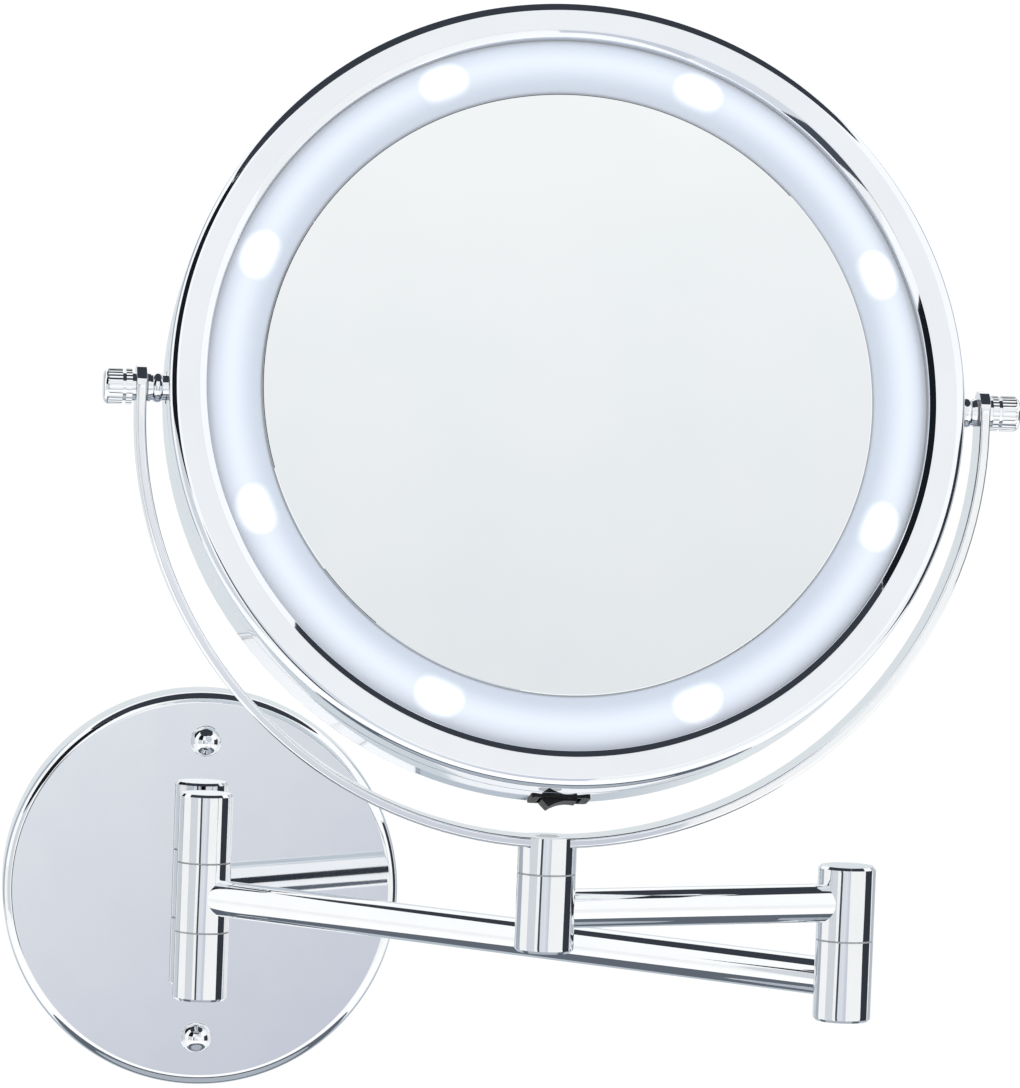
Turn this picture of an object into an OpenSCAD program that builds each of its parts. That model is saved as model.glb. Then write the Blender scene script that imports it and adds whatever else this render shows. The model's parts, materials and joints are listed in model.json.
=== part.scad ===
// Extendable shaving mirror: round wall plate, two folding arms, yoke and a lit round mirror head.
// Origin: centre of the wall plate's back, on the wall. X right, -Y out of the wall, Z up.

/* [Wall plate] */
// Diameter of the round wall plate
plate_d = 110; // [100:1:130]
// Depth of the wall plate, from the wall to its front
plate_depth = 17.4; // [15:0.2:22]
// Sheet thickness of the wall plate
plate_wall = 1.2; // [0.8:0.1:1.8]
// Radius of the plate's front edge
plate_edge = 3; // [2:0.5:4]
// Distance between the two cap nuts
cap_nut_gap = 83; // [76:1:86]
// Diameter of a cap nut's dome
cap_nut_d = 7.8; // [7:0.2:10]
// Diameter of the bracket's studs
bracket_stud_d = 4; // [3:0.5:5]
// Thickness of the steel bracket on the wall
bracket_t = 2.5; // [2:0.5:4]
// Distance between the two wall screw holes
wall_hole_gap = 60; // [40:1:76]
// Diameter of the wall screw holes
wall_hole_d = 5; // [4:0.5:6]

/* [Barrels] */
// Diameter of the three barrels
barrel_d = 15; // [14:0.5:18]
// Gap between the wall barrel and the plate
barrel_gap = 7.8; // [5:0.2:12]
// Height of each of the wall barrel's knuckles
wall_knuckle_h = 18.8; // [17:0.2:24]
// Height of the elbow's lower knuckle
elbow_low_h = 20.8; // [18:0.2:24]
// Height of the elbow's upper knuckle
elbow_up_h = 19; // [18:0.2:24]
// Height of the knuckle at the upper arm's outer end
swivel_knuckle_h = 19.8; // [18:0.2:24]
// Height of the yoke holder on top of it
holder_h = 9.1; // [8:0.1:12]
// Diameter of the pins in the barrels
pin_d = 5; // [4:0.5:6]
// Thickness of the barrels' end caps
cap_t = 1.2; // [1:0.1:2]
// Thickness of the nylon washers
washer_t = 0.4; // [0.3:0.1:0.8]

/* [Arms] */
// Diameter of the arm tubes
tube_d = 10; // [8:0.5:12]
// Wall of the arm tubes
tube_wall = 1; // [0.8:0.1:1.5]
// Length of the lower arm, axis to axis
lower_arm_l = 212; // [150:1:260]
// Length of the upper arm, axis to axis
upper_arm_l = 86.5; // [70:0.5:110]
// Height of a tube's axis above the base of its outer knuckle
tube_drop = 10.8; // [9:0.2:12]
// Height of the upper tube's axis above the base of its inner knuckle
tube_rise = 9.4; // [9:0.2:12]
// Angle of the lower arm out from the wall
lower_arm_angle = 41; // [5:1:90]
// Angle of the upper arm as it folds back
upper_arm_angle = 21; // [0:1:60]

/* [Yoke] */
// Radius of the yoke strap's centre line
yoke_r = 106.8; // [105:0.2:125]
// Length of the yoke's straight ends below the pivots
yoke_leg = 4.9; // [2:0.1:20]
// Width of the yoke strap
strap_w = 11; // [9:0.5:12]
// Thickness of the yoke strap
strap_t = 2.6; // [2:0.1:3]
// Turn of the yoke about its barrel
yoke_turn = 2; // [-60:1:60]

/* [Head] */
// Diameter of the mirror head
head_d = 201; // [160:1:202]
// Backward tilt of the head
head_tilt = 15; // [-30:1:45]
// Depth of the head in front of its pivots
front_depth = 12.4; // [12:0.2:16]
// Depth of the head behind its pivots
rear_depth = 17; // [17:0.2:24]
// Width of the bezel's bright front face and edge
bezel_w = 7.6; // [6:0.2:9]
// Depth of the bezel's inner wall
bezel_lip = 3.8; // [3:0.1:4.5]
// Width of the light ring around the glass
ring_w = 13.8; // [12:0.1:20]
// Thickness of the mirror glass
glass_t = 3; // [2:0.5:3]
// Height of the light ring's crown
crown_h = 2.8; // [1:0.1:3.2]
// Wall of the rear shell
shell_wall = 2.2; // [1.8:0.1:3]
// Radius of the shell's rear edge
shell_edge = 5; // [3:0.5:7]

/* [Knobs and pivots] */
// Diameter of the knurled knobs
knob_d = 8.9; // [8:0.1:14]
// Length of the knurled knobs
knob_l = 8; // [7:0.1:12]
// Diameter of the pivot studs
stud_d = 4; // [3:0.5:5]
// Diameter of the pivot spacers
spacer_d = 7.6; // [7:0.1:10]

/* [Switch and batteries] */
// Length of the switch's frame around the rim
switch_l = 15; // [14:0.5:17]
// Width of the switch's frame
switch_w = 10; // [9.5:0.5:11]
// Angle of the rocker to each side
rocker_tilt = 12; // [8:1:12]
// Diameter of a battery cell
cell_d = 14.2; // [10.5:0.1:14.2]
// Length of a battery cell
cell_l = 50; // [44:0.5:52]
// Number of battery cells
cell_count = 4; // [2:1:4]
// Number of light chips
led_count = 8; // [6:1:16]

/* [Hidden] */
$fn = 96;

press_gap = 0.02;   // between pieces that are pressed or glued together
run_gap = 0.05;     // around a pin or stud that turns
face_gap = 0.05;    // between flat faces that turn on each other
loose_gap = 0.3;    // around a piece that lifts out
thread_gap = 0.03;  // around a screw in its thread
over = 1;           // how far a cut runs past a face

plate_r = plate_d / 2;
barrel_r = barrel_d / 2;
tube_r = tube_d / 2;
pin_r = pin_d / 2;
stud_r = stud_d / 2;
bracket_stud_r = bracket_stud_d / 2;
head_r = head_d / 2;

// wall plate
stiffener_t = 2;
stiffener_w = 26;
post_r = 4;
post_screw_r = 2;
post_screw_head_r = 3.6;
post_screw_head_h = 2.4;
cap_nut_flange_h = 0.8;
cap_nut_r = cap_nut_d / 2;
cap_nut_neck = 0.6;
cap_nut_bore = cap_nut_neck + cap_nut_r - 1;
barrel_y = plate_depth + barrel_gap + barrel_r;
post_z = wall_knuckle_h + washer_t + face_gap;
post_bore = barrel_gap + 1;

// pin heads, nuts and the pockets that hide them
head_h = 3;
pin_head_r = pin_r + 2.2;
nut_r = pin_r + 2.1;
pocket_r = pin_r + 2.7;
plug_h = 1;
pocket_h = plug_h + head_h + loose_gap;
cap_edge = 0.7;
pin_end = 0.1;
spigot_l = 12;

// heights along the barrels
wall_face_z = wall_knuckle_h / 2;
wall_fixed_z = wall_face_z + face_gap + washer_t;
wall_top_z = wall_fixed_z + wall_knuckle_h;
elbow_base_z = -tube_drop;
elbow_low_top = elbow_base_z + elbow_low_h;
elbow_up_base = elbow_low_top + washer_t + face_gap;
elbow_up_top = elbow_up_base + elbow_up_h;
upper_z = elbow_up_base + tube_rise;
swivel_base = upper_z - tube_drop;
swivel_top = swivel_base + swivel_knuckle_h;
holder_base = swivel_top + washer_t + face_gap;
holder_top = holder_base + holder_h;
strap_under = holder_top - strap_t;
pivot_z = holder_top - strap_t / 2 + yoke_r + yoke_leg;

// yoke screw
screw_r = 1.5;
screw_head_r = 3;
screw_head_h = 1.5;
screw_bore = 5;

// head, measured along its own axis from the pivots, front positive
front_z = front_depth;
rear_z = -rear_depth;
seam_z = 2.4;
seam_gap = 0.4;
bezel_wall = 1.8;
bezel_edge = 1.8;
chamfer_h = 0.95;
bezel_in_r = head_r - bezel_w;
lip_r = bezel_in_r - 1.8;
lip_z = front_z - bezel_lip;
tray_t = 1.6;
tray_r = head_r - bezel_wall - loose_gap;
tray_top = seam_z + tray_t;
shell_rim = 3;
flange_t = 1.6;
diffuser_wall = 2;
diffuser_r = lip_r - 0.1;
diffuser_in_r = diffuser_r - ring_w;
glass_r = diffuser_in_r - 0.2;
outer_flange_z = lip_z - flange_t;
inner_flange_z = tray_top + 0.8;
glass_z = inner_flange_z + flange_t;
inner_flange_r = diffuser_in_r - 3.2;
crown_r = (diffuser_r + diffuser_in_r) / 2;
crown_half = (diffuser_r - diffuser_in_r) / 2;
crown_rho = (crown_half * crown_half + crown_h * crown_h) / (2 * crown_h);
pad_t = 1;
board_t = 1.2;
board_in_r = diffuser_in_r + diffuser_wall + 0.4;
board_out_r = diffuser_r - 1;
led_size = 5;
led_h = 1.2;
led_r = (board_in_r + board_out_r) / 2;
case_screw_r = head_r - 17;
case_screw_pocket = 8;
case_boss_z = -4;
case_screw_head_r = 2.8;
case_screw_head_h = 2.2;

// batteries
cell_gap = 0.3;
contact_space = 2.5;
contact_t = 0.5;
box_wall = 1.6;
bay_w = cell_count * (cell_d + cell_gap) + cell_gap;
bay_l = cell_l + 2 * contact_space;
cell_z = rear_z + shell_wall + loose_gap + cell_d / 2;
bay_top = cell_z + cell_d / 2 + 0.2;
door_w = bay_w + box_wall;
door_l = bay_l + box_wall;
door_corner = 3;

// pivots
spot_face = 0.3;
pivot_x = head_r - spot_face;
strap_in_x = yoke_r - strap_t / 2;
strap_out_x = yoke_r + strap_t / 2;
spacer_end = strap_in_x - face_gap - washer_t;
stud_head_r = stud_r + 1.5;
stud_head_h = 2.5;
stud_boss_l = 6;
stud_boss_x = head_r - shell_rim - stud_boss_l;
stud_end = 5;

// switch
switch_z = -7.6;
frame_t = 0.6;
switch_body_l = switch_l - 1.6;
switch_body_w = switch_w - 1.4;
switch_depth = 10;
rocker_top = 2;
rocker_top_half = 3.7;
rocker_half = 5;
rocker_w = switch_body_w - 1.6;
rocker_pivot = -0.6;
rocker_axle_r = 0.8;
rocker_foot = 3.5;
lead_r = 0.6;

chrome = "gainsboro";
steel = "darkgray";
nylon = "ivory";
black_plastic = "dimgray";
white_plastic = "whitesmoke";

// ---- places ----
module off_wall() rotate([90, 0, 0]) children();
module at_wall_barrel() translate([0, -barrel_y, 0]) children();
module on_lower_arm() at_wall_barrel() rotate([0, 0, -lower_arm_angle]) children();
module at_elbow() on_lower_arm() translate([lower_arm_l, 0, 0]) children();
module on_upper_arm() at_elbow() rotate([0, 0, 180 + upper_arm_angle + lower_arm_angle]) children();
module at_swivel() on_upper_arm() translate([upper_arm_l, 0, 0])
    rotate([0, 0, yoke_turn - 180 - upper_arm_angle]) children();
module on_pivots() at_swivel() translate([0, 0, pivot_z]) children();
// on the head: X along the pivots, Y up the mirror's face, Z out of the glass
module on_head() on_pivots() rotate([90 - head_tilt, 0, 0]) children();
// at the switch: X around the rim, Y to the front, Z out of the rim
module at_switch() on_head() translate([0, -(head_r - spot_face), switch_z]) rotate([90, 0, 0]) children();
// along a pivot: Z outwards, on the left (-1) or right (1)
module along_pivot(side) rotate([0, 90 * side, 0]) children();

// ---- shapes ----
module ring(outer_r, inner_r, h) difference() {
    cylinder(r = outer_r, h = h);
    translate([0, 0, -over]) cylinder(r = inner_r, h = h + 2 * over);
}

// section of a disc with one rounded rim, for turning
module rounded_section(r, h, edge) difference() {
    square([r, h]);
    translate([r - edge, h - edge]) difference() {
        square(edge + over);
        circle(r = edge);
    }
}

module rounded_rect(x, y, corner) {
    square([x - 2 * corner, y], center = true);
    square([x, y - 2 * corner], center = true);
    for (sx = [-1, 1], sy = [-1, 1])
        translate([sx * (x / 2 - corner), sy * (y / 2 - corner)]) circle(r = corner);
}

module bar(r, x0, x1) translate([x0, 0, 0]) rotate([0, 90, 0]) cylinder(r = r, h = x1 - x0);

// one knuckle of a barrel; pocket is 1 for a pocket at its top, -1 at its base, 0 for none
module knuckle(z0, z1, bore_r, pocket) difference() {
    translate([0, 0, z0]) cylinder(r = barrel_r, h = z1 - z0);
    knuckle_bore(z0, z1, bore_r, pocket);
}

module knuckle_bore(z0, z1, bore_r, pocket) {
    translate([0, 0, z0 - over]) cylinder(r = bore_r, h = z1 - z0 + 2 * over);
    if (pocket == 1) translate([0, 0, z1 - pocket_h]) cylinder(r = pocket_r, h = pocket_h + over);
    if (pocket == -1) translate([0, 0, z0 - over]) cylinder(r = pocket_r, h = pocket_h + over);
}

// a knuckle with the spigot that the arm's tube is pressed onto, which points along x
module arm_knuckle(z0, z1, bore_r, pocket, tube_z, way) difference() {
    union() {
        translate([0, 0, z0]) cylinder(r = barrel_r, h = z1 - z0);
        translate([0, 0, tube_z]) rotate([0, 90 * way, 0])
            cylinder(r = tube_r - tube_wall - press_gap, h = barrel_r + spigot_l);
    }
    knuckle_bore(z0, z1, bore_r, pocket);
}

// cap that closes a barrel, with its plug downwards from z = 0
module barrel_cap() {
    translate([0, 0, -plug_h]) cylinder(r = pocket_r - press_gap, h = plug_h);
    cylinder(r = barrel_r, h = cap_t - cap_edge);
    translate([0, 0, cap_t - cap_edge]) cylinder(r1 = barrel_r, r2 = barrel_r - cap_edge, h = cap_edge);
}

// pin with its head upwards from z = 0 and its shank down
module headed_pin(l) {
    cylinder(r = pin_head_r, h = head_h);
    translate([0, 0, -l]) cylinder(r = pin_r, h = l + over);
}

module hex_nut() difference() {
    cylinder(r = nut_r, h = head_h, $fn = 6);
    translate([0, 0, -over]) cylinder(r = pin_r + thread_gap, h = head_h + 2 * over);
}

module arm_tube(l, tube_z) translate([0, 0, tube_z]) difference() {
    bar(tube_r, tube_r, l - tube_r);
    bar(tube_r - tube_wall, 0, l);
    for (x = [0, l]) translate([x, 0, -barrel_r]) cylinder(r = barrel_r + press_gap, h = barrel_d);
}

module two_up(gap) for (side = [-1, 1]) translate([0, side * gap / 2, 0]) children();

// round lead through a list of points
module lead(points) {
    joint_r = lead_r + 0.15;
    for (i = [0 : len(points) - 2]) {
        step = points[i + 1] - points[i];
        l = norm(step);
        translate(points[i]) rotate([0, acos(step.z / l), atan2(step.y, step.x)])
            cylinder(r = lead_r, h = l, $fn = 24);
    }
    for (i = [1 : len(points) - 2]) translate(points[i]) sphere(r = joint_r, $fn = 24);
}

// ---- wall plate ----
module wall_bracket() color(steel) off_wall() difference() {
    cylinder(r = plate_r - plate_wall - loose_gap, h = bracket_t);
    two_up(cap_nut_gap) translate([0, 0, -over])
        cylinder(r = bracket_stud_r + press_gap, h = bracket_t + 2 * over);
    for (side = [-1, 1]) translate([side * wall_hole_gap / 2, 0, -over])
        cylinder(r = wall_hole_d / 2, h = bracket_t + 2 * over);
}

module bracket_studs() color(steel) off_wall() two_up(cap_nut_gap)
    cylinder(r = bracket_stud_r, h = plate_depth + cap_nut_flange_h + cap_nut_bore - 0.5);

module wall_plate() color(chrome) off_wall() difference() {
    rotate_extrude() difference() {
        rounded_section(plate_r, plate_depth, plate_edge);
        translate([-over, -over])
            rounded_section(plate_r - plate_wall + over, plate_depth - plate_wall + over, plate_edge -
                plate_wall);
    }
    two_up(cap_nut_gap) cylinder(r = bracket_stud_r + 0.2, h = plate_depth + over);
    two_up(2 * post_z) cylinder(r = post_screw_r + 0.2, h = plate_depth + over);
}

module cap_nuts() color(chrome) off_wall() two_up(cap_nut_gap) translate([0, 0, plate_depth]) difference() {
    union() {
        cylinder(r = cap_nut_r + 0.4, h = cap_nut_flange_h);
        cylinder(r = cap_nut_r, h = cap_nut_flange_h + cap_nut_neck);
        translate([0, 0, cap_nut_flange_h + cap_nut_neck]) intersection() {
            sphere(r = cap_nut_r);
            cylinder(r = cap_nut_r + over, h = cap_nut_r + over);
        }
    }
    translate([0, 0, -over]) cylinder(r = bracket_stud_r + thread_gap, h = cap_nut_flange_h +
        cap_nut_bore + over);
}

module plate_stiffener() color(steel) off_wall()
    translate([0, 0, plate_depth - plate_wall - stiffener_t]) difference() {
        linear_extrude(stiffener_t) rounded_rect(stiffener_w, 2 * post_z + 4 * post_r, post_r);
        two_up(2 * post_z) translate([0, 0, -over])
            cylinder(r = post_screw_r + 0.2, h = stiffener_t + 2 * over);
    }

module post_screws() color(steel) off_wall() two_up(2 * post_z)
    translate([0, 0, plate_depth - plate_wall - stiffener_t]) {
        translate([0, 0, -post_screw_head_h]) cylinder(r = post_screw_head_r, h = post_screw_head_h);
        cylinder(r = post_screw_r, h = plate_wall + stiffener_t + post_bore - 0.5);
    }

// fixed knuckle of the wall barrel, the upper (1) or lower (-1) one, with the post that holds it
module wall_knuckle(side) at_wall_barrel() {
    z0 = side > 0 ? wall_fixed_z : cap_t - wall_top_z;
    z1 = side > 0 ? wall_top_z - cap_t : -wall_fixed_z;
    difference() {
        union() {
            translate([0, 0, z0]) cylinder(r = barrel_r, h = z1 - z0);
            translate([0, 0, side * post_z]) rotate([-90, 0, 0])
                cylinder(r = post_r, h = barrel_r + barrel_gap);
        }
        knuckle_bore(z0, z1, pin_r + press_gap, side);
        translate([0, barrel_r + barrel_gap, side * post_z]) rotate([90, 0, 0])
            translate([0, 0, -over]) cylinder(r = post_screw_r + thread_gap, h = post_bore + over);
    }
}

module wall_knuckle_upper() color(chrome) wall_knuckle(1);
module wall_knuckle_lower() color(chrome) wall_knuckle(-1);

module wall_pin() color(steel) at_wall_barrel() translate([0, 0, wall_top_z - cap_t - pocket_h])
    headed_pin(2 * (wall_top_z - cap_t - pocket_h) + head_h + pin_end);

module wall_nut() color(steel) at_wall_barrel()
    translate([0, 0, cap_t + pocket_h - wall_top_z - head_h]) hex_nut();

module wall_barrel_caps() color(chrome) at_wall_barrel() for (side = [0, 1]) mirror([0, 0, side])
    translate([0, 0, wall_top_z - cap_t]) barrel_cap();

module wall_washers() color(nylon) at_wall_barrel() for (side = [0, 1]) mirror([0, 0, side])
    translate([0, 0, wall_fixed_z - washer_t]) ring(barrel_r - 0.2, pin_r + run_gap, washer_t);

// ---- lower arm ----
module lower_arm_knuckle() color(chrome) on_lower_arm()
    arm_knuckle(-wall_face_z, wall_face_z, pin_r + run_gap, 0, 0, 1);

module lower_arm_tube() color(chrome) on_lower_arm() arm_tube(lower_arm_l, 0);

module elbow_knuckle_lower() color(chrome) at_elbow()
    arm_knuckle(elbow_base_z + cap_t, elbow_low_top, pin_r + press_gap, -1, 0, -1);

module elbow_pin() color(steel) at_elbow() translate([0, 0, elbow_base_z + cap_t + pocket_h])
    mirror([0, 0, 1])
    headed_pin(elbow_up_top - cap_t - pocket_h - elbow_base_z - cap_t - pocket_h + head_h + pin_end);

module elbow_nut() color(steel) at_elbow()
    translate([0, 0, elbow_up_top - cap_t - pocket_h + face_gap]) hex_nut();

module elbow_cap_lower() color(chrome) at_elbow() translate([0, 0, elbow_base_z + cap_t])
    mirror([0, 0, 1]) barrel_cap();

module elbow_washer() color(nylon) at_elbow() translate([0, 0, elbow_low_top])
    ring(barrel_r - 0.2, pin_r + press_gap, washer_t);

// ---- upper arm ----
module elbow_knuckle_upper() color(chrome) on_upper_arm()
    arm_knuckle(elbow_up_base, elbow_up_top - cap_t, pin_r + run_gap, 1, upper_z, 1);

module upper_arm_tube() color(chrome) on_upper_arm() arm_tube(upper_arm_l, upper_z);

module swivel_knuckle() color(chrome) on_upper_arm() translate([upper_arm_l, 0, 0])
    arm_knuckle(swivel_base + cap_t, swivel_top, pin_r + run_gap, -1, upper_z, -1);

module elbow_cap_upper() color(chrome) at_elbow() translate([0, 0, elbow_up_top - cap_t]) barrel_cap();

module swivel_cap() color(chrome) at_swivel() translate([0, 0, swivel_base + cap_t]) mirror([0, 0, 1])
    barrel_cap();

module swivel_washer() color(nylon) at_swivel() translate([0, 0, swivel_top])
    ring(barrel_r - 0.2, pin_r + run_gap, washer_t);

// ---- yoke ----
module yoke_holder() color(chrome) at_swivel() difference() {
    translate([0, 0, holder_base]) cylinder(r = barrel_r, h = holder_h);
    translate([0, 0, holder_base - over]) cylinder(r = pin_r + press_gap, h = holder_h);
    translate([0, 0, pivot_z - yoke_leg]) rotate([90, 0, 0])
        cylinder(r = strap_out_x + press_gap, h = strap_w + 2 * run_gap, center = true, $fn = 360);
}

module swivel_pin() color(steel) at_swivel() difference() {
    z0 = swivel_base + cap_t + pocket_h - face_gap - head_h - pin_end;
    translate([0, 0, z0]) cylinder(r = pin_r, h = strap_under - press_gap - z0);
    translate([0, 0, strap_under - screw_bore]) cylinder(r = screw_r + thread_gap, h = screw_bore + over);
}

module swivel_nut() color(steel) at_swivel()
    translate([0, 0, swivel_base + cap_t + pocket_h - face_gap - head_h]) hex_nut();

module yoke_screw() color(steel) at_swivel() translate([0, 0, holder_top - screw_head_h]) {
    cylinder(r1 = screw_r, r2 = screw_head_r, h = screw_head_h);
    translate([0, 0, screw_head_h + 0.3 - strap_t - screw_bore])
        cylinder(r = screw_r, h = strap_t + screw_bore - 1);
}

module yoke_strap() color(chrome) on_pivots() difference() {
    union() {
        translate([0, 0, -yoke_leg]) rotate([90, 0, 0]) rotate([0, 0, 180])
            rotate_extrude(angle = 180, $fn = 360) translate([yoke_r, 0])
                rounded_rect(strap_t, strap_w, 0.8);
        intersection() {
            for (side = [-1, 1]) translate([side * yoke_r, 0, -yoke_leg])
                linear_extrude(yoke_leg + strap_w / 2) rounded_rect(strap_t, strap_w, 0.8);
            union() {
                translate([-yoke_r * 1.5, -strap_w, -yoke_leg - over])
                    cube([yoke_r * 3, 2 * strap_w, yoke_leg + over]);
                rotate([0, 90, 0]) cylinder(r = strap_w / 2, h = 3 * yoke_r, center = true);
            }
        }
    }
    rotate([0, 90, 0]) cylinder(r = stud_r + run_gap, h = 3 * yoke_r, center = true);
    translate([0, 0, holder_top - pivot_z - strap_t - over]) cylinder(r = screw_r + 0.1, h = 2 * strap_t);
    translate([0, 0, holder_top - pivot_z - screw_head_h - 0.1])
        cylinder(r1 = screw_r + 0.1, r2 = screw_head_r + over + 0.1, h = screw_head_h + over);
}

// ---- head ----
// flats on the rim under the spacers
module pivot_flats() for (side = [-1, 1]) translate([0, 0, 0]) along_pivot(side)
    translate([0, 0, pivot_x]) cylinder(r = spacer_d / 2 + loose_gap, h = spot_face + over);

module head_bezel() color(chrome) on_head() difference() {
    rotate_extrude($fn = 360) difference() {
        translate([0, seam_z + seam_gap]) rounded_section(head_r, front_z - seam_z - seam_gap, bezel_edge);
        // room for the light ring, under the lip
        square([head_r - bezel_wall, lip_z]);
        // channel between the lip and the outer wall
        translate([bezel_in_r + bezel_wall, 0])
            square([head_r - bezel_in_r - 2 * bezel_wall, front_z - bezel_wall]);
        // opening with its chamfered inner edge
        polygon([[0, 0], [lip_r, 0], [lip_r, front_z - chamfer_h], [bezel_in_r, front_z],
                 [bezel_in_r, front_z + over], [0, front_z + over]]);
    }
    pivot_flats();
}

module rear_shell() color(chrome) on_head() difference() {
    union() {
        difference() {
            translate([0, 0, seam_z]) mirror([0, 0, 1]) rotate_extrude($fn = 360)
                rounded_section(head_r, seam_z - rear_z, shell_edge);
            translate([0, 0, seam_z + over]) mirror([0, 0, 1]) rotate_extrude($fn = 360)
                rounded_section(head_r - shell_rim, seam_z + over - rear_z - shell_wall, shell_edge -
                    shell_wall);
        }
        case_positions() translate([0, 0, rear_z + 1]) cylinder(r = 4, h = case_boss_z - rear_z - 1);
        for (side = [-1, 1]) intersection() {
            along_pivot(side) translate([0, 0, stud_boss_x]) cylinder(r = 7, h = stud_boss_l + 1);
            translate([-head_r, -head_r, -head_r]) cube([2 * head_r, 2 * head_r, head_r + seam_z]);
        }
    }
    case_positions() {
        translate([0, 0, rear_z - over]) cylinder(r = case_screw_head_r + 0.4, h = case_screw_pocket +
            over);
        translate([0, 0, rear_z]) cylinder(r = screw_r + 0.2, h = rear_depth);
    }
    for (side = [-1, 1]) along_pivot(side) cylinder(r = stud_r + press_gap, h = head_r + over);
    pivot_flats();
    translate([0, 0, rear_z - over]) linear_extrude(shell_wall + 2 * over)
        rounded_rect(door_w, door_l, door_corner);
    // finger notch beside the battery door
    translate([0, -door_l / 2 - 3, rear_z - 8]) sphere(r = 9);
    // seat and hole of the switch
    translate([0, -(head_r - spot_face), switch_z]) rotate([90, 0, 0]) {
        translate([-switch_l / 2 - 0.2, -switch_w / 2 - 0.2, 0]) cube([switch_l + 0.4, switch_w + 0.4, 2]);
        translate([-switch_body_l / 2 - 0.1, -switch_body_w / 2 - 0.1, -8])
            cube([switch_body_l + 0.2, switch_body_w + 0.2, 9]);
    }
}

module case_positions() for (turn = [45 : 90 : 315]) rotate([0, 0, turn])
    translate([case_screw_r, 0, 0]) children();

module mirror_glass() color("lightsteelblue") on_head() translate([0, 0, glass_z])
    cylinder(r = glass_r, h = glass_t, $fn = 360);

module glass_pad() color(black_plastic) on_head() translate([0, 0, glass_z - pad_t])
    cylinder(r = inner_flange_r - 1, h = pad_t);

module light_diffuser() color("azure", 0.9) on_head() rotate_extrude($fn = 360) {
    // crowned light ring over its two side walls
    difference() {
        intersection() {
            translate([crown_r, lip_z + crown_h - crown_rho]) circle(r = crown_rho, $fn = 180);
            translate([diffuser_in_r, inner_flange_z]) square([2 * crown_half, crown_rho]);
        }
        intersection() {
            translate([crown_r, lip_z + crown_h - crown_rho])
                circle(r = crown_rho - diffuser_wall, $fn = 180);
            translate([diffuser_in_r + diffuser_wall, inner_flange_z - over])
                square([2 * (crown_half - diffuser_wall), crown_rho + over]);
        }
        translate([diffuser_in_r + diffuser_wall, inner_flange_z - over])
            square([2 * crown_half, outer_flange_z - inner_flange_z + over]);
    }
    translate([inner_flange_r, inner_flange_z])
        square([diffuser_in_r + diffuser_wall - inner_flange_r, flange_t]);
    translate([diffuser_r - diffuser_wall, outer_flange_z]) square([diffuser_wall + 3.2, flange_t]);
}

module reflector_tray() color(white_plastic) on_head() difference() {
    union() {
        translate([0, 0, seam_z]) cylinder(r = tray_r, h = tray_t);
        translate([0, 0, tray_top]) ring(diffuser_in_r - 0.4, inner_flange_r, inner_flange_z - tray_top);
        translate([0, 0, tray_top]) ring(diffuser_r + 3.2, diffuser_r + 0.8, outer_flange_z - tray_top);
        for (rib_r = [inner_flange_r * 0.4, inner_flange_r * 0.75])
            translate([0, 0, tray_top]) ring(rib_r + 1, rib_r - 1, glass_z - pad_t - tray_top);
        case_positions() translate([0, 0, case_boss_z]) cylinder(r = 3.5, h = seam_z - case_boss_z);
    }
    case_positions() translate([0, 0, case_boss_z - over]) cylinder(r = screw_r + thread_gap, h = 6);
    for (side = [-1, 1]) translate([side * (head_r - 6), 0, seam_z])
        cube([13, 2 * stud_head_r + 8, 2 * tray_t - 0.1], center = true);
    for (hole = [lead_hole_black, lead_hole_switch])
        translate([hole.x, hole.y, seam_z - over]) cylinder(r = lead_r + 0.4, h = tray_t + 2 * over);
}

module led_board() color("honeydew") on_head() translate([0, 0, tray_top])
    ring(board_out_r, board_in_r, board_t);

module led_chips() color("lightyellow") on_head() for (i = [0 : led_count - 1])
    rotate([0, 0, (i + 0.5) * 360 / led_count])
        translate([led_r - led_size / 2, -led_size / 2, tray_top + board_t])
            cube([led_size, led_size, led_h]);

module battery_box() color(black_plastic) on_head() difference() {
    translate([0, 0, rear_z + shell_wall]) linear_extrude(seam_z - rear_z - shell_wall)
        square([bay_w + 2 * box_wall, bay_l + 2 * box_wall], center = true);
    translate([0, 0, rear_z + shell_wall - over]) linear_extrude(bay_top - rear_z - shell_wall + over)
        square([bay_w, bay_l], center = true);
}

// cells lie side by side, every other one turned round
module cell_positions() for (i = [0 : cell_count - 1])
    translate([(i - (cell_count - 1) / 2) * (cell_d + cell_gap), 0, cell_z])
        rotate([0, 0, i % 2 * 180]) rotate([-90, 0, 0]) children();

module batteries() color("royalblue") on_head() cell_positions() {
    translate([0, 0, -cell_l / 2]) cylinder(r = cell_d / 2, h = cell_l - 1);
    translate([0, 0, cell_l / 2 - 1]) cylinder(r = cell_d / 5, h = 1);
}

module battery_contacts() color(steel) on_head() cell_positions() {
    for (z = [-bay_l / 2, bay_l / 2 - contact_t]) translate([-cell_d / 3, -cell_d / 3, z])
        cube([cell_d / 1.5, cell_d / 1.5, contact_t]);
    translate([0, 0, cell_l / 2]) cylinder(r = cell_d / 6, h = contact_space - contact_t);
}

module battery_springs() color(steel) on_head() cell_positions()
    for (i = [0 : 2]) translate([0, 0, -cell_l / 2 - (i + 0.5) * (contact_space - contact_t) / 3])
        rotate_extrude($fn = 32) translate([2 + 0.6 * i, 0])
            circle(r = (contact_space - contact_t) / 6, $fn = 16);

module battery_door() color(chrome) on_head() translate([0, 0, rear_z]) difference() {
    linear_extrude(shell_wall - face_gap)
        rounded_rect(door_w - 2 * loose_gap, door_l - 2 * loose_gap, door_corner - loose_gap);
    for (i = [0 : 3]) translate([-8, -door_l / 2 + 6 + 2 * i, -over]) cube([16, 0.8, over + 0.5]);
}

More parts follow.
